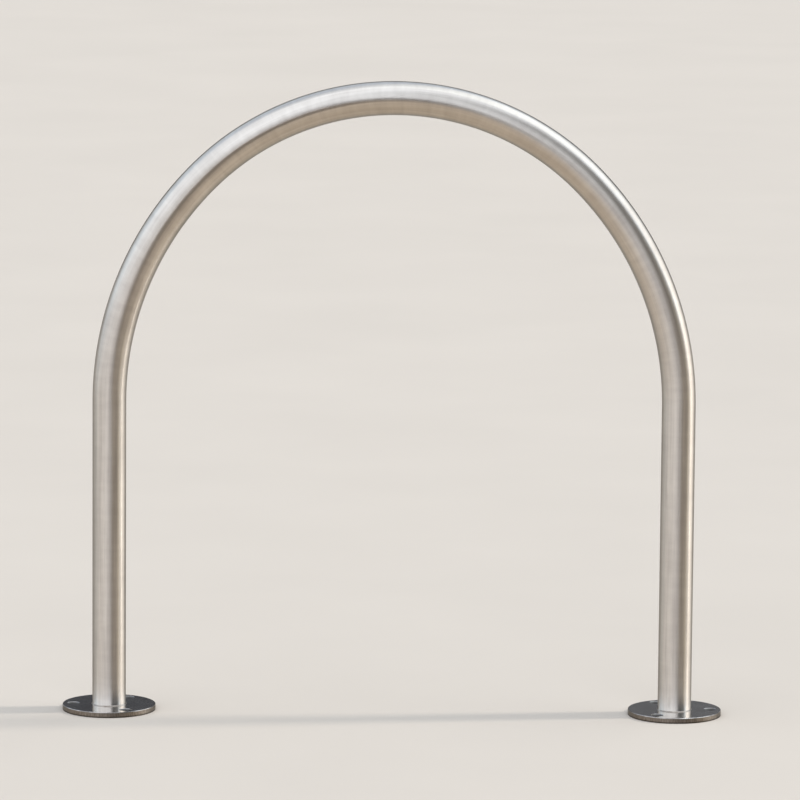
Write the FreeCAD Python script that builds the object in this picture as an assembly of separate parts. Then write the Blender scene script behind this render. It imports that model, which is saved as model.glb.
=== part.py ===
"""Hoop bike rack: one bent steel tube, welded into two round base plates.

Sizes are in millimetres and +Z is up. The origin is on the ground, midway between the legs.
The hoop stands in the XZ plane, and a bicycle leans on it from either side, along Y.
"""

import FreeCAD
import Part
import math
import os

Vector = FreeCAD.Vector

# Tube
tube_diameter = 48.3
tube_wall = 3.2

# Hoop, measured on the tube's centreline
leg_spacing = 816.0
leg_height = 450.0
arch_rise = 440.0
shoulder_angle = 45.0

# Base plates
plate_diameter = 134.0
plate_thickness = 8.0
plate_edge_round = 0.8
socket_clearance = 0.2
tube_end_recess = 2.0

# Anchor holes, countersunk from above
anchor_count = 3
anchor_hole_diameter = 11.0
anchor_edge_distance = 15.5
countersink_diameter = 18.0
countersink_angle = 90.0

# Welds
seal_weld_leg = 1.2
root_weld_clearance = 0.5
weld_hollow = 0.1

# Derived sizes
tube_radius = tube_diameter / 2
bore_radius = tube_radius - tube_wall
socket_radius = tube_radius + socket_clearance
half_spacing = leg_spacing / 2
anchor_circle_radius = plate_diameter / 2 - anchor_edge_distance

UP = Vector(0, 0, 1)
SIDES = {"left": -1, "right": 1}


def arch_radii():
    """Centreline radii of the arch's shoulders and of its crown.

    Each shoulder turns by shoulder_angle and the crown by the rest. The crown's radius is such
    that all three arcs meet tangentially at the stated rise; with a rise of half the leg
    spacing, both radii are the same and the arch is a half circle.
    """
    turn = math.radians(shoulder_angle)
    difference = (arch_rise - half_spacing) / (math.sin(turn) + math.cos(turn) - 1)
    shoulder_radius = half_spacing + difference * math.cos(turn)
    return shoulder_radius, shoulder_radius - difference


def arc(centre_x, centre_z, radius, start, end):
    """Arc in the XZ plane between two angles in degrees, from +X towards +Z."""
    angles = (start, (start + end) / 2, end)
    points = []
    for angle in angles:
        turn = math.radians(angle)
        points.append(Vector(centre_x + radius * math.cos(turn), 0, centre_z + radius * math.sin(turn)))
    return Part.Arc(*points).toShape()


def hoop_path():
    """Centreline of the hoop: left leg, three tangent arcs, right leg."""
    shoulder_radius, crown_radius = arch_radii()
    inset = half_spacing - shoulder_radius
    crown_centre_z = leg_height + (shoulder_radius - crown_radius) * math.sin(math.radians(shoulder_angle))
    left_foot = Vector(-half_spacing, 0, tube_end_recess)
    right_foot = Vector(half_spacing, 0, tube_end_recess)
    left_top = Vector(-half_spacing, 0, leg_height)
    right_top = Vector(half_spacing, 0, leg_height)
    edges = [
        Part.LineSegment(left_foot, left_top).toShape(),
        arc(-inset, leg_height, shoulder_radius, 180, 180 - shoulder_angle),
        arc(0, crown_centre_z, crown_radius, 180 - shoulder_angle, shoulder_angle),
        arc(inset, leg_height, shoulder_radius, shoulder_angle, 0),
        Part.LineSegment(right_top, right_foot).toShape(),
    ]
    return Part.Wire(edges)


def sweep(path, radius):
    """Solid round bar of the given radius along the path, which starts upwards."""
    start = path.Vertexes[0].Point
    ring = Part.Wire(Part.makeCircle(radius, start, UP))
    return path.makePipeShell([ring], True, False)


def hoop_tube():
    """The bent tube, open at both ends."""
    path = hoop_path()
    return sweep(path, tube_radius).cut(sweep(path, bore_radius))


def on_leg(shape, side):
    """The shape, modelled about the Z axis, turned and moved to the leg on that side."""
    placed = shape.copy()
    if side < 0:
        placed.rotate(Vector(0, 0, 0), UP, 180)
    placed.translate(Vector(side * half_spacing, 0, 0))
    return placed


def anchor_hole():
    """Cutter for one countersunk hole about the Z axis, its rim level with the plate's top."""
    hole_radius = anchor_hole_diameter / 2
    rim_radius = countersink_diameter / 2
    sink_depth = (rim_radius - hole_radius) / math.tan(math.radians(countersink_angle / 2))
    sink_floor = Vector(0, 0, plate_thickness - sink_depth)
    through = Part.makeCylinder(hole_radius, 3 * plate_thickness, Vector(0, 0, -plate_thickness))
    return through.fuse(Part.makeCone(hole_radius, rim_radius, sink_depth, sink_floor, UP))


def base_plate():
    """Round plate with the tube's socket and a ring of anchor holes, the first one along +X."""
    plate = Part.makeCylinder(plate_diameter / 2, plate_thickness)
    top_edge = [e for e in plate.Edges if e.Closed and e.CenterOfMass.z > plate_thickness / 2]
    plate = plate.makeFillet(plate_edge_round, top_edge)
    plate = plate.cut(Part.makeCylinder(socket_radius, 3 * plate_thickness, Vector(0, 0, -plate_thickness)))
    for index in range(anchor_count):
        cutter = anchor_hole()
        cutter.translate(Vector(anchor_circle_radius, 0, 0))
        cutter.rotate(Vector(0, 0, 0), UP, 360 * index / anchor_count)
        plate = plate.cut(cutter)
    return plate


def weld_ring(corner, along_wall, along_floor):
    """Fillet weld turned about the Z axis: the corner it fills and the far ends of its two legs.

    Its open face is slightly hollow, as a fine bead without filler is.
    """
    middle = (along_wall + along_floor) * 0.5
    inwards = (corner - middle).normalize()
    face = Part.Arc(along_wall, middle + inwards * weld_hollow, along_floor).toShape()
    wall_leg = Part.LineSegment(corner, along_wall).toShape()
    floor_leg = Part.LineSegment(along_floor, corner).toShape()
    section = Part.Face(Part.Wire([wall_leg, face, floor_leg]))
    return section.revolve(Vector(0, 0, 0), UP, 360)


def seal_weld():
    """Bead between the tube's outside and the plate's top; it closes the socket's clearance."""
    corner = Vector(tube_radius, 0, plate_thickness)
    up_the_tube = corner + UP * seal_weld_leg
    over_the_plate = Vector(socket_radius + seal_weld_leg, 0, plate_thickness)
    return weld_ring(corner, up_the_tube, over_the_plate)


def root_weld():
    """Bead under the tube's end, inside the socket; it stays clear of the ground."""
    leg = tube_end_recess - root_weld_clearance
    corner = Vector(socket_radius, 0, tube_end_recess)
    down_the_socket = corner - UP * leg
    under_the_tube = Vector(socket_radius - socket_clearance - leg, 0, tube_end_recess)
    return weld_ring(corner, down_the_socket, under_the_tube)


def main():
    parts = {"hoop_tube": hoop_tube()}
    for name, side in SIDES.items():
        parts[name + "_base_plate"] = on_leg(base_plate(), side)
        parts[name + "_seal_weld"] = on_leg(seal_weld(), side)
        parts[name + "_root_weld"] = on_leg(root_weld(), side)

    os.makedirs("parts", exist_ok=True)
    for node, shape in parts.items():
        solid = shape if shape.ShapeType == "Solid" else shape.Solids[0]
        solid.exportStep("parts/" + node + ".step")
        box = solid.optimalBoundingBox(False, False)
        size = (round(box.XLength, 1), round(box.YLength, 1), round(box.ZLength, 1))
        print(node, "valid", solid.isValid(), "size", size, "volume", round(solid.Volume))


main()
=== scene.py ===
"""Looks of the hoop bike rack: satin steel tube, smooth bright-rolled base plates, fine welds.

Lengths are in metres, in the part's own frame: +Z is up, the hoop stands in the XZ plane, and
the origin is on the ground midway between the legs. The camera looks along +Y.
"""

import math
import random

import bpy
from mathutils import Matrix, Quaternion, Vector


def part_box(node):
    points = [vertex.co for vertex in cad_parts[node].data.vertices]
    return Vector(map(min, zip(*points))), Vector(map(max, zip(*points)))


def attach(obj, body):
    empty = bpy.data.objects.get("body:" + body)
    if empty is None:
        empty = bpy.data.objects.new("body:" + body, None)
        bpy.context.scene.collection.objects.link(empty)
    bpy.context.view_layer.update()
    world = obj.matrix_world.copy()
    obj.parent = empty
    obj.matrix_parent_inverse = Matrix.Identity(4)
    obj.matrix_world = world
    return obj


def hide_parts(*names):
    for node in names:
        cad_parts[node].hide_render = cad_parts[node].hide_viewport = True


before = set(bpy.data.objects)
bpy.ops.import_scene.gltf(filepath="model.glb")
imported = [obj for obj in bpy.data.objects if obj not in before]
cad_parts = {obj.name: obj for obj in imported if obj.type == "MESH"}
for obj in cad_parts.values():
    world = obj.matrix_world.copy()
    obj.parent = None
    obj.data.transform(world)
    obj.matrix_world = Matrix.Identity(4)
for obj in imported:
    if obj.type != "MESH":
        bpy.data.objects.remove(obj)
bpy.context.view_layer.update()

SIDES = {"left": -1, "right": 1}

# Tube, measured on its centreline
TUBE_DIAMETER = 0.0483
TUBE_WALL = 0.0032
LEG_SPACING = 0.816
LEG_HEIGHT = 0.450
ARCH_RISE = 0.440
SHOULDER_ANGLE = math.radians(45)
TUBE_END_HEIGHT = 0.002

# Fineness of the tube's mesh, and the angle from which its edges are sharp
TUBE_SIDES = 96
LEG_STEPS = 12
ARC_STEP = math.radians(1.25)
TUBE_SHARP_ANGLE = math.radians(40)
TUBE_MAP = "along_and_round"

# Base plates and their countersunk anchor holes
PLATE_RADIUS = 0.067
PLATE_TOP = 0.008
ANCHOR_COUNT = 3
ANCHOR_CIRCLE_RADIUS = 0.0515
HOLE_RIM_RADIUS = 0.009
HOLE_FLOOR = 0.0045

# Weld beads. Besides its ripples, each has a slow unevenness of several waves: their counts
# per turn, and the range of their sizes before these are divided by the count
SEAL_RIPPLES = 88
ROOT_RIPPLES = 64
RIPPLE_DEPTH = 0.00008
UNEVEN_DEPTH = 0.00012
UNEVEN_WAVES = (2, 3, 5, 9)
UNEVEN_SIZES = (0.3, 1.0)
BEAD_STEPS_PER_RIPPLE = 6
BEAD_SECTION_POINTS = 7
BEAD_SHARP_ANGLE = math.radians(50)
SEAL_SEED = 11
ROOT_SEED = 31

# Camera
CAMERA_PLACE = (0.0941, -9.0, 1.880)
CAMERA_AIM = (0.0086, 0.0, 0.4554)
CAMERA_ROLL = math.radians(0.469)
CAMERA_LENS_MM = 286.2
CAMERA_REACH = 120.0

# Floor, which sweeps up into the backdrop
FLOOR_RADIUS = 40.0
SWEEP_RADIUS = 8.0
SWEEP_HEIGHT = 30.0
SWEEP_STEP_DEGREES = 6
SWEEP_SIDES = 96
FLOOR_COLOUR = (0.625, 0.574, 0.514)
FLOOR_UNEVENNESS = 0.015

# Sun. Its azimuth and height are in degrees, as for the surroundings below
SUN_AZIMUTH = 97
SUN_HEIGHT = 42
SUN_WIDTH = math.radians(5)
SUN_STRENGTH = 1.25
SUN_COLOUR = (1.0, 0.93, 0.84)

# Surroundings, in degrees: azimuth from the camera's side towards +X, height above the horizon.
# Each range gives the heights between which one tone turns into the next
GROUND_BELOW = (0.52, 0.442, 0.356)
GROUND_FAR = (0.603, 0.523, 0.442)
GROUND_RANGE = (-60, -8)
HORIZON_RANGE = (-1.0, 8.6)
SKY_LOW = (1.045, 1.19, 1.32)
SKY_HIGH = (0.53, 0.64, 0.83)
SKY_RANGE = (5, 60)

# Soft ovals painted over them in this order: azimuth, height, half width, half height, the
# share of the radius that is evenly filled, tilt and colour
FEATURES = (
    # Paler sky round the zenith
    (180, 90, 400, 55, 0.35, 0, (0.63, 0.66, 0.72)),
    # Bright clouds in front, high on the right and low on the right
    (-24, 50, 110, 65, 0.60, -9, (1.20, 1.255, 1.35)),
    (107, 74, 46, 65, 0.76, 52, (1.58, 1.67, 1.74)),
    (115, 4, 35, 19, 0.85, -14, (1.95, 1.86, 1.76)),
    # Sunlit ground on the right
    (70, -11, 14, 7, 0.71, 0, (1.09, 0.91, 0.655)),
    (95, -12, 7, 22, 0.40, 0, (2.50, 2.34, 2.10)),
    # Shaded ground behind, and the dark wall that stands on it
    (181, -14, 93, 66, 0.43, 0, (0.325, 0.305, 0.273)),
    (180, 12, 45, 16, 0.50, 0, (0.055, 0.056, 0.061)),
    (170, 12, 14, 14, 0.35, 0, (0.150, 0.150, 0.155)),
    # Dim things in front: a long one on the left, a tall one and two slanting ones on the right
    (-49, 1, 79, 3, 0.74, 3, (0.03, 0.02, 0.02)),
    (48, 22, 32, 43, 0.52, 24, (0.03, 0.035, 0.034)),
    (38, 9, 50, 14, 0.85, 32, (0.02, 0.02, 0.02)),
    (1, -2, 44, 3, 0.71, 41, (0.10, 0.036, 0.02)),
)

# Nearly all of a noise lies in this range
NOISE_RANGE = (0.3, 0.7)


# Node helpers

def new_material(name):
    """An empty node material with its output and one shader, joined."""
    material = bpy.data.materials.new(name)
    material.use_nodes = True
    nodes = material.node_tree.nodes
    nodes.clear()
    output = nodes.new("ShaderNodeOutputMaterial")
    shader = nodes.new("ShaderNodeBsdfPrincipled")
    material.node_tree.links.new(shader.outputs["BSDF"], output.inputs["Surface"])
    return material, shader


class Graph:
    """Short forms for the nodes that the materials and the world share."""

    def __init__(self, tree):
        self.tree = tree

    def link(self, source, target):
        self.tree.links.new(source, target)

    def put(self, socket, value):
        """Joins the socket to another node's output, or sets it to a plain value."""
        if isinstance(value, bpy.types.NodeSocket):
            self.link(value, socket)
        else:
            socket.default_value = value

    def place(self):
        """Where the point is in the part's frame."""
        return self.tree.nodes.new("ShaderNodeTexCoord").outputs["Object"]

    def math(self, operation, *values):
        node = self.tree.nodes.new("ShaderNodeMath")
        node.operation = operation
        for socket, value in zip(node.inputs, values):
            self.put(socket, value)
        return node.outputs[0]

    def add(self, first, second):
        return self.math("ADD", first, second)

    def times(self, first, second):
        return self.math("MULTIPLY", first, second)

    def towards(self, value, factor, target):
        """The value where the factor is 0, and the target, a plain number, where it is 1."""
        kept = self.times(value, self.math("SUBTRACT", 1.0, factor))
        return self.add(kept, self.times(factor, target))

    def combine(self, x, y, z):
        node = self.tree.nodes.new("ShaderNodeCombineXYZ")
        for socket, value in zip(node.inputs, (x, y, z)):
            self.put(socket, value)
        return node.outputs[0]

    def separate(self, vector):
        node = self.tree.nodes.new("ShaderNodeSeparateXYZ")
        self.link(vector, node.inputs[0])
        return node.outputs

    def distance(self, vector, centre):
        node = self.tree.nodes.new("ShaderNodeVectorMath")
        node.operation = "DISTANCE"
        self.link(vector, node.inputs[0])
        node.inputs[1].default_value = centre
        return node.outputs["Value"]

    def noise(self, vector, scale, detail, roughness):
        """Noise from 0 to 1 about 0.5."""
        node = self.tree.nodes.new("ShaderNodeTexNoise")
        self.link(vector, node.inputs["Vector"])
        node.inputs["Scale"].default_value = scale
        node.inputs["Detail"].default_value = detail
        node.inputs["Roughness"].default_value = roughness
        return node.outputs["Fac"]

    def spread(self, value, low, high, to_low, to_high, smooth=False):
        """Maps low..high to to_low..to_high and holds the ends."""
        node = self.tree.nodes.new("ShaderNodeMapRange")
        node.interpolation_type = "SMOOTHSTEP" if smooth else "LINEAR"
        for socket, number in zip(node.inputs, (value, low, high, to_low, to_high)):
            self.put(socket, number)
        return node.outputs[0]

    def blend(self, factor, first, second):
        """Mixes two colours."""
        node = self.tree.nodes.new("ShaderNodeMix")
        node.data_type = "RGBA"
        for name, value in (("Factor", factor), ("A", first), ("B", second)):
            self.put(node.inputs[name], (*value, 1.0) if isinstance(value, tuple) else value)
        return node.outputs["Result"]

    def bump(self, height, strength, distance):
        node = self.tree.nodes.new("ShaderNodeBump")
        node.inputs["Strength"].default_value = strength
        node.inputs["Distance"].default_value = distance
        self.link(height, node.inputs["Height"])
        return node.outputs["Normal"]


# Tube's finish. Marks: stretch per metre of length, then the noise's scale and detail, and how
# far it turns with the tube
DRAWN_MARKS = (0.9, 5.5, 3.0, 1.0)
PATCHES = (6.0, 1.6, 3.0, 1.0)
BRUSHED_MARKS = (50.0, 2.0, 4.0, 0.35)
FINE_MARKS = (500.0, 2.0, 2.0, 0.5)
MARKS_ROUGHNESS = 0.55

# Their weights in the tone, on the legs and on the arch, and the heights between these
DRAWN_TONE = (1.25, 0.65)
PATCHES_TONE = (0.8, 0.6)
BRUSHED_TONE = (0.4, 0.6)
TONE_REACH = 1.4
LEGS_TO_ARCH = (LEG_HEIGHT - 0.05, LEG_HEIGHT + 0.15)

TUBE_COLOURS = ((0.642, 0.60, 0.553), (0.832, 0.79, 0.732))
TUBE_ROUGHNESS = (0.37, 0.33)
TUBE_ANISOTROPY = 0.9
DRAWN_BUMP, BRUSHED_BUMP, FINE_BUMP = 0.6, 0.25, 0.15
TUBE_BUMP = (0.35, 0.0006)


def tube_steel():
    """Stainless steel polished round the tube, so that highlights run along it."""
    material, shader = new_material("tube_steel")
    graph = Graph(material.node_tree)
    uv = graph.tree.nodes.new("ShaderNodeUVMap")
    uv.uv_map = TUBE_MAP
    along, turn, _ = graph.separate(uv.outputs["UV"])
    angle = graph.times(turn, math.tau)
    sine = graph.math("SINE", angle)
    cosine = graph.math("COSINE", angle)

    def marks(stretch, scale, detail, spin):
        """Noise on the tube, without a seam where the turn round it closes."""
        place = graph.combine(graph.times(along, stretch), graph.times(sine, spin),
                              graph.times(cosine, spin))
        return graph.noise(place, scale, detail, MARKS_ROUGHNESS)

    drawn = marks(*DRAWN_MARKS)
    patches = marks(*PATCHES)
    brushed = marks(*BRUSHED_MARKS)
    fine = marks(*FINE_MARKS)

    # The legs show long drawn streaks, and the arch more of the marks across them
    height = graph.separate(graph.place())[2]
    on_arch = graph.spread(height, *LEGS_TO_ARCH, 0.0, 1.0, True)

    def share(noise, weights):
        """The noise about 0, weighted by where it is."""
        weight = graph.spread(on_arch, 0.0, 1.0, *weights)
        return graph.times(weight, graph.spread(noise, *NOISE_RANGE, -1.0, 1.0))

    tone = graph.add(share(drawn, DRAWN_TONE), share(patches, PATCHES_TONE))
    tone = graph.add(tone, share(brushed, BRUSHED_TONE))
    factor = graph.spread(tone, -TONE_REACH, TONE_REACH, 0.0, 1.0)
    graph.link(graph.blend(factor, *TUBE_COLOURS), shader.inputs["Base Color"])
    graph.link(graph.spread(factor, 0.0, 1.0, *TUBE_ROUGHNESS), shader.inputs["Roughness"])

    relief = graph.add(graph.times(drawn, DRAWN_BUMP), graph.times(brushed, BRUSHED_BUMP))
    relief = graph.add(relief, graph.times(fine, FINE_BUMP))
    graph.link(graph.bump(relief, *TUBE_BUMP), shader.inputs["Normal"])

    tangent = graph.tree.nodes.new("ShaderNodeTangent")
    tangent.direction_type = "UV_MAP"
    tangent.uv_map = TUBE_MAP
    graph.link(tangent.outputs["Tangent"], shader.inputs["Tangent"])
    shader.inputs["Metallic"].default_value = 1.0
    shader.inputs["Anisotropic"].default_value = TUBE_ANISOTROPY
    return material


# Plates' finish. A noise is given as scale, detail and roughness. Clouds and fine roll lines
# make the top's tone together
PLATE_CLOUDS = (38.0, 4.0, 0.6)
ROLL_LINES = (3.0, 3.0, 0.6)
ROLL_STRETCH = (14.0, 260.0)
PLATE_TONE_RANGE = (0.7, 1.3)
PLATE_COLOURS = ((0.78, 0.76, 0.75), (0.90, 0.88, 0.86))
PLATE_ROUGHNESS = (0.13, 0.20)

# Rounded edge between top and rim, worn duller in places
EDGE_FADE = (PLATE_RADIUS - 0.0009, PLATE_RADIUS - 0.0006)
EDGE_WEAR = (75.0, 2.0, 0.5)
EDGE_WEAR_RANGE = (0.35, 0.65)
EDGE_COLOURS = ((0.27, 0.255, 0.245), (0.68, 0.65, 0.63))
EDGE_EXTRA_ROUGHNESS = 0.10

# Rim: dull, with marks across its thickness and a painted contact shadow, a dark line along the
# ground
RIM_FADE = (PLATE_RADIUS - 0.0006, PLATE_RADIUS - 0.0002)
RIM_TOP_FADE = (PLATE_TOP - 0.0010, PLATE_TOP - 0.0006)
RIM_MARKS = (1.0, 3.0, 0.6)
RIM_STRETCH = (900.0, 150.0)
RIM_COLOURS = ((0.17, 0.148, 0.126), (0.38, 0.345, 0.31))
RIM_ROUGHNESS = 0.40
CONTACT_SHADE_FADE = (0.0003, 0.0030)
CONTACT_SHADE_COVER = 0.90
CONTACT_SHADE_COLOUR = (0.035, 0.03, 0.025)

# Holes: the countersink dulls and darkens downwards in painted shade, and the hole is painted dark
HOLE_FADE = (HOLE_RIM_RADIUS - 0.0004, HOLE_RIM_RADIUS)
HOLE_SHADE_COLOURS = ((0.02, 0.018, 0.016), (0.20, 0.195, 0.19))
HOLE_ROUGHNESS = 0.42

ROLL_BUMP, RIM_BUMP = 0.4, 1.5
PLATE_BUMP = (0.10, 0.0003)


def plate_steel():
    """Bright-rolled plate, smooth on top, with a raw turned rim and dull countersunk holes, and
    painted shade at its foot and in the holes.
    """
    material, shader = new_material("plate_steel")
    graph = Graph(material.node_tree)
    place = graph.place()
    x, y, z = graph.separate(place)
    outwards = graph.math("SUBTRACT", graph.math("ABSOLUTE", x), LEG_SPACING / 2)
    on_plate = graph.combine(outwards, y, 0.0)
    from_axis = graph.distance(on_plate, (0.0, 0.0, 0.0))
    from_hole = None
    for index in range(ANCHOR_COUNT):
        angle = math.tau * index / ANCHOR_COUNT
        cosine, sine = math.cos(angle), math.sin(angle)
        centre = (ANCHOR_CIRCLE_RADIUS * cosine, ANCHOR_CIRCLE_RADIUS * sine, 0.0)
        here = graph.distance(on_plate, centre)
        from_hole = here if from_hole is None else graph.math("MINIMUM", from_hole, here)

    clouds = graph.noise(place, *PLATE_CLOUDS)
    along_roll, across_roll = ROLL_STRETCH
    roll_place = graph.combine(graph.times(x, along_roll), graph.times(y, across_roll), z)
    roll_lines = graph.noise(roll_place, *ROLL_LINES)
    factor = graph.spread(graph.add(clouds, roll_lines), *PLATE_TONE_RANGE, 0.0, 1.0)
    colour = graph.blend(factor, *PLATE_COLOURS)
    roughness = graph.spread(factor, 0.0, 1.0, *PLATE_ROUGHNESS)

    edge = graph.spread(from_axis, *EDGE_FADE, 0.0, 1.0)
    worn = graph.spread(graph.noise(place, *EDGE_WEAR), *EDGE_WEAR_RANGE, 0.0, 1.0)
    colour = graph.blend(edge, colour, graph.blend(worn, *EDGE_COLOURS))
    roughness = graph.add(roughness, graph.times(edge, EDGE_EXTRA_ROUGHNESS))

    rim = graph.times(graph.spread(from_axis, *RIM_FADE, 0.0, 1.0),
                      graph.spread(z, *RIM_TOP_FADE, 1.0, 0.0))
    level, upwards = RIM_STRETCH
    rim_place = graph.combine(graph.times(x, level), graph.times(y, level), graph.times(z, upwards))
    turned = graph.noise(rim_place, *RIM_MARKS)
    rim_colour = graph.blend(graph.spread(turned, *NOISE_RANGE, 0.0, 1.0), *RIM_COLOURS)
    # Painted contact shadow: the rim's colour darkens towards the ground
    contact_shade = graph.spread(z, *CONTACT_SHADE_FADE, CONTACT_SHADE_COVER, 0.0, True)
    colour = graph.blend(rim, colour, graph.blend(contact_shade, rim_colour, CONTACT_SHADE_COLOUR))
    roughness = graph.towards(roughness, rim, RIM_ROUGHNESS)

    hole = graph.spread(from_hole, *HOLE_FADE, 1.0, 0.0)
    # Painted shade in the holes: their colour darkens with depth
    depth = graph.spread(z, HOLE_FLOOR, PLATE_TOP, 0.0, 1.0)
    colour = graph.blend(hole, colour, graph.blend(depth, *HOLE_SHADE_COLOURS))
    roughness = graph.towards(roughness, hole, HOLE_ROUGHNESS)

    graph.link(colour, shader.inputs["Base Color"])
    graph.link(roughness, shader.inputs["Roughness"])
    relief = graph.add(graph.times(roll_lines, ROLL_BUMP),
                       graph.times(graph.times(turned, rim), RIM_BUMP))
    graph.link(graph.bump(relief, *PLATE_BUMP), shader.inputs["Normal"])
    shader.inputs["Metallic"].default_value = 1.0
    return material


# Welds' finish
WELD_CLOUDS = (150.0, 3.0, 0.6)
WELD_COLOURS = ((0.30, 0.265, 0.23), (0.54, 0.50, 0.455))
WELD_ROUGHNESS = (0.30, 0.42)
WELD_GRAIN = (2500.0, 2.0, 0.5)
WELD_BUMP = (0.15, 0.0001)


def weld_steel():
    """Fine bead, a little darker than the tube and straw-tinted from the heat."""
    material, shader = new_material("weld_steel")
    graph = Graph(material.node_tree)
    place = graph.place()
    clouds = graph.noise(place, *WELD_CLOUDS)
    factor = graph.spread(clouds, *NOISE_RANGE, 0.0, 1.0)
    graph.link(graph.blend(factor, *WELD_COLOURS), shader.inputs["Base Color"])
    graph.link(graph.spread(clouds, *NOISE_RANGE, *WELD_ROUGHNESS), shader.inputs["Roughness"])
    grain = graph.noise(place, *WELD_GRAIN)
    graph.link(graph.bump(grain, *WELD_BUMP), shader.inputs["Normal"])
    shader.inputs["Metallic"].default_value = 1.0
    return material


# Floor's finish
FLOOR_CLOUDS = (2.2, 3.0, 0.5)
FLOOR_ROUGHNESS = 0.9
FLOOR_SPECULAR = 0.1


def floor_paint():
    """Plain pale ground with a barely visible unevenness of tone."""
    material, shader = new_material("pale_floor")
    graph = Graph(material.node_tree)
    clouds = graph.noise(graph.place(), *FLOOR_CLOUDS)
    darker = tuple((1 - FLOOR_UNEVENNESS) * value for value in FLOOR_COLOUR)
    lighter = tuple((1 + FLOOR_UNEVENNESS) * value for value in FLOOR_COLOUR)
    colour = graph.blend(graph.spread(clouds, *NOISE_RANGE, 0.0, 1.0), darker, lighter)
    graph.link(colour, shader.inputs["Base Color"])
    shader.inputs["Roughness"].default_value = FLOOR_ROUGHNESS
    shader.inputs["Specular IOR Level"].default_value = FLOOR_SPECULAR
    return material


# Meshes

def add_mesh(name, vertices, faces, material):
    mesh = bpy.data.meshes.new(name)
    mesh.from_pydata(vertices, [], faces)
    mesh.materials.append(material)
    mesh.validate()
    piece = bpy.data.objects.new(name, mesh)
    bpy.context.scene.collection.objects.link(piece)
    return piece


def hoop_rings():
    """Centres and outward directions of the hoop's rings, from the left foot to the right foot.

    Each shoulder turns by SHOULDER_ANGLE and the crown by the rest, on arcs that meet
    tangentially at ARCH_RISE above the legs.
    """
    half = LEG_SPACING / 2
    sine, cosine = math.sin(SHOULDER_ANGLE), math.cos(SHOULDER_ANGLE)
    difference = (ARCH_RISE - half) / (sine + cosine - 1)
    shoulder_radius = half + difference * cosine
    crown_radius = shoulder_radius - difference
    inset = shoulder_radius - half
    crown_centre = Vector((0, 0, LEG_HEIGHT + difference * sine))
    arcs = (
        (Vector((inset, 0, LEG_HEIGHT)), shoulder_radius, math.pi, math.pi - SHOULDER_ANGLE),
        (crown_centre, crown_radius, math.pi - SHOULDER_ANGLE, SHOULDER_ANGLE),
        (Vector((-inset, 0, LEG_HEIGHT)), shoulder_radius, SHOULDER_ANGLE, 0.0),
    )

    rings = []
    for step in range(LEG_STEPS):
        height = TUBE_END_HEIGHT + (LEG_HEIGHT - TUBE_END_HEIGHT) * step / LEG_STEPS
        rings.append((Vector((-half, 0, height)), Vector((-1, 0, 0))))
    for centre, radius, start, end in arcs:
        steps = round((start - end) / ARC_STEP)
        for step in range(steps):
            angle = start + (end - start) * step / steps
            outward = Vector((math.cos(angle), 0, math.sin(angle)))
            rings.append((centre + radius * outward, outward))
    for step in range(LEG_STEPS + 1):
        height = LEG_HEIGHT + (TUBE_END_HEIGHT - LEG_HEIGHT) * step / LEG_STEPS
        rings.append((Vector((half, 0, height)), Vector((1, 0, 0))))
    return rings


def hoop_tube(material):
    """The bent tube with its bore, and a map of the length along it and the turn round it."""
    rings = hoop_rings()
    outer = TUBE_DIAMETER / 2
    across = Vector((0, 1, 0))
    vertices = []
    for radius in (outer, outer - TUBE_WALL):
        for centre, outward in rings:
            for side in range(TUBE_SIDES):
                angle = math.tau * side / TUBE_SIDES
                direction = math.cos(angle) * outward + math.sin(angle) * across
                vertices.append(centre + radius * direction)

    count = len(rings)
    lengths = [0.0]
    for (here, _), (there, _) in zip(rings, rings[1:]):
        lengths.append(lengths[-1] + (there - here).length)

    def vertex(wall, ring, side):
        return (wall * count + ring) * TUBE_SIDES + side % TUBE_SIDES

    faces = []
    places = []
    for wall in (0, 1):
        for ring in range(count - 1):
            for side in range(TUBE_SIDES):
                corners = [(ring, side), (ring + 1, side), (ring + 1, side + 1), (ring, side + 1)]
                if wall == 1:
                    corners.reverse()
                faces.append([vertex(wall, *corner) for corner in corners])
                places.extend((lengths[r], s / TUBE_SIDES) for r, s in corners)
    for ring in (0, count - 1):
        for side in range(TUBE_SIDES):
            corners = [(0, side), (0, side + 1), (1, side + 1), (1, side)]
            if ring > 0:
                corners.reverse()
            faces.append([vertex(wall, ring, s) for wall, s in corners])
            places.extend((lengths[ring], s / TUBE_SIDES) for _, s in corners)

    piece = add_mesh("brushed_hoop", vertices, faces, material)
    layer = piece.data.uv_layers.new(name=TUBE_MAP)
    for loop, place in zip(layer.data, places):
        loop.uv = place
    piece.data.shade_smooth()
    piece.data.set_sharp_from_angle(angle=TUBE_SHARP_ANGLE)
    return piece


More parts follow.
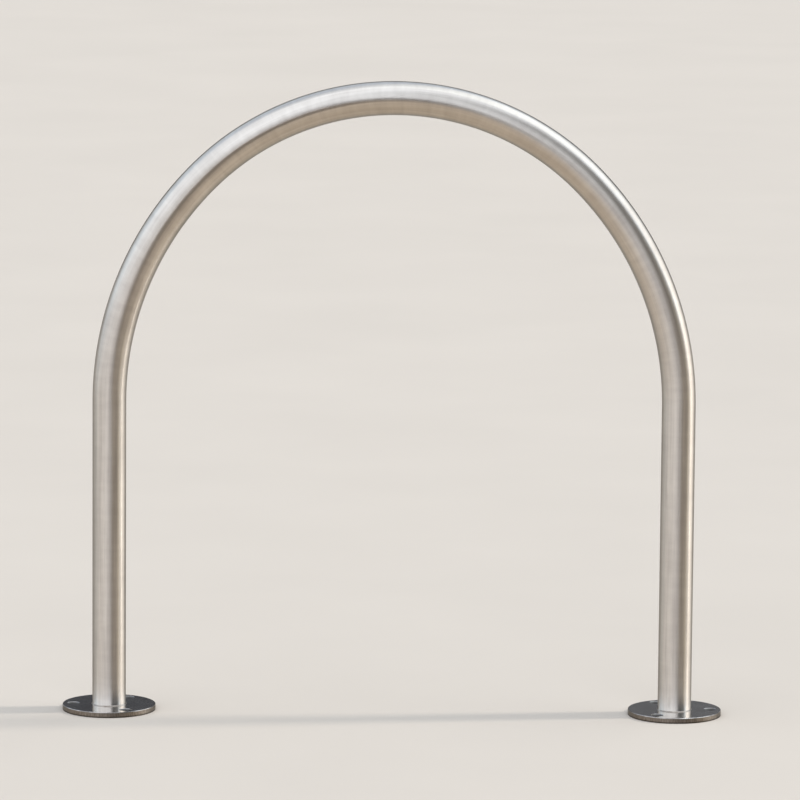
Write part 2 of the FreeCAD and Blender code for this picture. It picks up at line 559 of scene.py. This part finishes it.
def weld_bead(name, centre_x, wall, floor, ripples, material, seed):
    """Rippled ring that fills the corner between a cylinder and a flat face.

    wall is the end of its section on the cylinder and floor the one on the face, each as
    radius and height.
    """
    chance = random.Random(seed)
    wall_end = Vector(wall)
    floor_end = Vector(floor)
    corner = Vector((wall_end.x, floor_end.y))
    inward = (corner - (wall_end + floor_end) / 2).normalized()
    steps = ripples * BEAD_STEPS_PER_RIPPLE
    waves = [(k, chance.uniform(0, math.tau), chance.uniform(*UNEVEN_SIZES) / k)
             for k in UNEVEN_WAVES]

    vertices = []
    for step in range(steps):
        angle = math.tau * step / steps
        uneven = sum(size * math.sin(k * angle + phase) for k, phase, size in waves)
        dip = abs(math.sin(ripples * angle / 2))
        depth = RIPPLE_DEPTH * (1 - dip) + UNEVEN_DEPTH * (0.5 + 0.5 * uneven)
        section = []
        for point in range(BEAD_SECTION_POINTS):
            share = point / (BEAD_SECTION_POINTS - 1)
            bulge = math.sin(math.pi * share)
            section.append(wall_end.lerp(floor_end, share) + inward * bulge * depth)
        for radius, height in (*section, corner):
            vertices.append((centre_x + radius * math.cos(angle), radius * math.sin(angle), height))

    points = BEAD_SECTION_POINTS + 1
    turned = (wall_end.y - floor_end.y) * (floor_end.x - wall_end.x) > 0
    faces = []
    for step in range(steps):
        following = (step + 1) % steps
        for point in range(points):
            beside = (point + 1) % points
            face = [step * points + point, following * points + point,
                    following * points + beside, step * points + beside]
            faces.append(face[::-1] if turned else face)
    piece = add_mesh(name, vertices, faces, material)
    piece.data.shade_smooth()
    piece.data.set_sharp_from_angle(angle=BEAD_SHARP_ANGLE)
    return piece


def seal_bead(side_name, material):
    """Bead round the foot of a leg, in the room of its CAD ring."""
    low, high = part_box(side_name + "_seal_weld")
    wall = (TUBE_DIAMETER / 2, high.z)
    floor = ((high.x - low.x) / 2, low.z)
    return weld_bead(side_name + "_seal_bead", (low.x + high.x) / 2, wall, floor,
                     SEAL_RIPPLES, material, SEAL_SEED + SIDES[side_name])


def root_bead(side_name, material):
    """Bead under the tube's end, in the room of its CAD ring."""
    low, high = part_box(side_name + "_root_weld")
    wall = ((high.x - low.x) / 2, low.z)
    floor = (TUBE_DIAMETER / 2 - (high.z - low.z), high.z)
    return weld_bead(side_name + "_root_bead", (low.x + high.x) / 2, wall, floor,
                     ROOT_RIPPLES, material, ROOT_SEED + SIDES[side_name])


# Stage, light and camera

def floor_sheet():
    """Round floor that sweeps up into a backdrop far behind.

    Only the camera sees it, so it keeps the rack's shadow, and the surroundings light the rack
    and mirror in its steel.
    """
    profile = [(FLOOR_RADIUS - SWEEP_RADIUS, 0.0)]
    for degrees in range(0, 91, SWEEP_STEP_DEGREES):
        turn = math.radians(degrees)
        profile.append((FLOOR_RADIUS + SWEEP_RADIUS * math.sin(turn),
                        SWEEP_RADIUS * (1 - math.cos(turn))))
    profile.append((FLOOR_RADIUS + SWEEP_RADIUS, SWEEP_HEIGHT))

    vertices = []
    for radius, height in profile:
        for side in range(SWEEP_SIDES):
            angle = math.tau * side / SWEEP_SIDES
            vertices.append((radius * math.cos(angle), radius * math.sin(angle), height))
    faces = [tuple(range(SWEEP_SIDES))]
    for ring in range(len(profile) - 1):
        for side in range(SWEEP_SIDES):
            here = ring * SWEEP_SIDES + side
            beside = ring * SWEEP_SIDES + (side + 1) % SWEEP_SIDES
            faces.append((here, here + SWEEP_SIDES, beside + SWEEP_SIDES, beside))
    floor = add_mesh("floor", vertices, faces, floor_paint())
    floor.data.shade_smooth()
    floor.visible_diffuse = False
    floor.visible_glossy = False
    floor.visible_shadow = False


def patch(graph, colour, azimuth, height, feature):
    """Paints one soft-edged oval of the surroundings over the colour."""
    centre_azimuth, centre_height, half_width, half_height, core, tilt, paint = feature
    across = graph.math("WRAP", graph.math("SUBTRACT", azimuth, centre_azimuth), 180.0, -180.0)
    up = graph.math("SUBTRACT", height, centre_height)
    cosine, sine = math.cos(math.radians(tilt)), math.sin(math.radians(tilt))
    along = graph.add(graph.times(across, cosine / half_width), graph.times(up, sine / half_width))
    beside = graph.add(graph.times(across, -sine / half_height),
                       graph.times(up, cosine / half_height))
    squares = graph.add(graph.math("POWER", along, 2.0), graph.math("POWER", beside, 2.0))
    cover = graph.spread(graph.math("SQRT", squares), core, 1.0, 1.0, 0.0, True)
    return graph.blend(cover, colour, paint)


def sky():
    """Pale soft surroundings: warm ground, a bright sky and the dim things near the horizon."""
    world = bpy.data.worlds.new("surroundings")
    world.use_nodes = True
    bpy.context.scene.world = world
    nodes = world.node_tree.nodes
    nodes.clear()
    graph = Graph(world.node_tree)
    direction = nodes.new("ShaderNodeTexCoord").outputs["Generated"]
    x, y, z = graph.separate(direction)
    height = graph.times(graph.math("ARCSINE", z), math.degrees(1))
    backward = graph.times(y, -1.0)
    azimuth = graph.times(graph.math("ARCTAN2", x, backward), math.degrees(1))

    ground = graph.blend(graph.spread(height, *GROUND_RANGE, 0.0, 1.0, True),
                         GROUND_BELOW, GROUND_FAR)
    open_sky = graph.blend(graph.spread(height, *SKY_RANGE, 0.0, 1.0, True), SKY_LOW, SKY_HIGH)
    colour = graph.blend(graph.spread(height, *HORIZON_RANGE, 0.0, 1.0, True), ground, open_sky)
    for feature in FEATURES:
        colour = patch(graph, colour, azimuth, height, feature)

    background = nodes.new("ShaderNodeBackground")
    graph.link(colour, background.inputs["Color"])
    output = nodes.new("ShaderNodeOutputWorld")
    graph.link(background.outputs[0], output.inputs["Surface"])


def sun():
    """Soft sun almost in the hoop's own plane, from the right and slightly behind."""
    data = bpy.data.lights.new("soft_sun", "SUN")
    data.energy = SUN_STRENGTH
    data.angle = SUN_WIDTH
    data.color = SUN_COLOUR
    lamp = bpy.data.objects.new("soft_sun", data)
    lamp.visible_glossy = False
    azimuth, height = math.radians(SUN_AZIMUTH), math.radians(SUN_HEIGHT)
    towards = Vector((math.sin(azimuth) * math.cos(height), -math.cos(azimuth) * math.cos(height),
                      math.sin(height)))
    lamp.rotation_mode = "QUATERNION"
    lamp.rotation_quaternion = towards.to_track_quat("Z", "Y")
    bpy.context.scene.collection.objects.link(lamp)


def camera():
    """Camera at the photograph's viewing angle."""
    data = bpy.data.cameras.new("camera")
    data.lens = CAMERA_LENS_MM
    data.clip_end = CAMERA_REACH
    eye = bpy.data.objects.new("camera", data)
    eye.location = CAMERA_PLACE
    view = Vector(CAMERA_AIM) - Vector(CAMERA_PLACE)
    roll = Quaternion((0, 0, 1), CAMERA_ROLL)
    eye.rotation_mode = "QUATERNION"
    eye.rotation_quaternion = view.to_track_quat("-Z", "Y") @ roll
    bpy.context.scene.collection.objects.link(eye)
    bpy.context.scene.camera = eye


def dress():
    """Every piece of the rack with its finish, riding on the one body."""
    tube = tube_steel()
    plate = plate_steel()
    weld = weld_steel()

    hoop = hoop_tube(tube)
    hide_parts("hoop_tube")
    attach(hoop, "root")

    for side_name in SIDES:
        plate_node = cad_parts[side_name + "_base_plate"]
        plate_node.data.materials.clear()
        plate_node.data.materials.append(plate)
        for bead, node in ((seal_bead, "_seal_weld"), (root_bead, "_root_weld")):
            piece = bead(side_name, weld)
            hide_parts(side_name + node)
            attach(piece, "root")


dress()
floor_sheet()
sky()
sun()
camera()
bpy.context.scene.view_settings.view_transform = "Standard"
